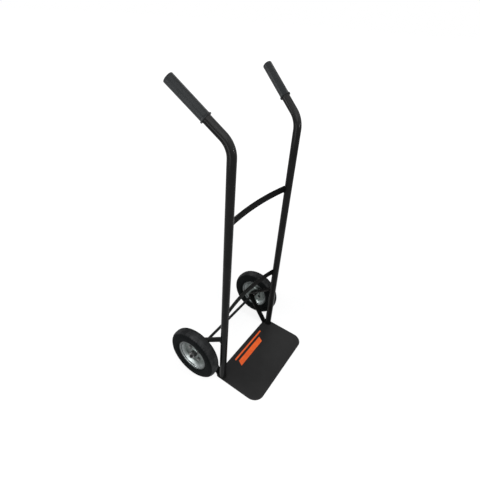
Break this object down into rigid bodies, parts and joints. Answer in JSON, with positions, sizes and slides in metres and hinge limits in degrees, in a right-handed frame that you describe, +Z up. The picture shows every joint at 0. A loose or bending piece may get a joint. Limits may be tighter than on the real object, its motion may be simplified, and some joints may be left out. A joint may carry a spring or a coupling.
{
  "type": "hand truck",
  "caption": "Upright tubular hand truck with swept-back gripped handles, bowed cross straps, a flat toe plate and rubber-tyred wheels on a fixed axle.",
  "frame": {"origin": "on the floor under the toe plate: the middle of the plate's underside on the line between the two uprights", "axes": "+Z up along the uprights, +X across the truck towards its right-hand wheel as seen by someone who stands behind it and pushes, +Y from the toe plate back to the wheels and handles"},
  "size_m": [0.458, 0.368, 1.0181],
  "materials": {
    "frame_paint": "black gloss paint on steel",
    "plate_paint": "black satin paint on steel sheet",
    "grip_rubber": "dark grey satin rubber",
    "tyre_rubber": "black rubber, slightly dusty",
    "rim_zinc": "bright zinc-plated pressed steel",
    "steel_plain": "plain zinc-plated steel",
    "bush_nylon": "dark grey nylon"
  },
  "bodies": {
    "frame": {"toe_plate": "plate_paint", "upper_cross_strap": "frame_paint", "lower_cross_strap": "frame_paint", "axle_rod": "frame_paint", "left_upright": "frame_paint", "left_grip": "grip_rubber", "left_axle_bracket": "frame_paint", "left_inner_washer": "steel_plain", "left_outer_washer": "steel_plain", "left_split_pin": "steel_plain", "right_upright": "frame_paint", "right_grip": "grip_rubber", "right_axle_bracket": "frame_paint", "right_inner_washer": "steel_plain", "right_outer_washer": "steel_plain", "right_split_pin": "steel_plain"},
    "left_wheel": {"left_tyre": "tyre_rubber", "left_rim_outer_half": "rim_zinc", "left_rim_inner_half": "rim_zinc", "left_hub_tube": "rim_zinc", "left_outer_bush": "bush_nylon", "left_inner_bush": "bush_nylon", "left_rim_bolt_1": "rim_zinc", "left_rim_bolt_2": "rim_zinc", "left_rim_bolt_3": "rim_zinc", "left_rim_bolt_4": "rim_zinc"},
    "right_wheel": {"right_tyre": "tyre_rubber", "right_rim_outer_half": "rim_zinc", "right_rim_inner_half": "rim_zinc", "right_hub_tube": "rim_zinc", "right_outer_bush": "bush_nylon", "right_inner_bush": "bush_nylon", "right_rim_bolt_1": "rim_zinc", "right_rim_bolt_2": "rim_zinc", "right_rim_bolt_3": "rim_zinc", "right_rim_bolt_4": "rim_zinc"}
  },
  "joints": [
    {"name": "left_wheel_spin", "type": "hinge", "parent": "frame", "child": "left_wheel", "pos_m": [-0.2047, 0.1005, 0.102], "axis": [1, 0, 0], "continuous": true},
    {"name": "right_wheel_spin", "type": "hinge", "parent": "frame", "child": "right_wheel", "pos_m": [0.2047, 0.1005, 0.102], "axis": [1, 0, 0], "continuous": true}
  ]
}
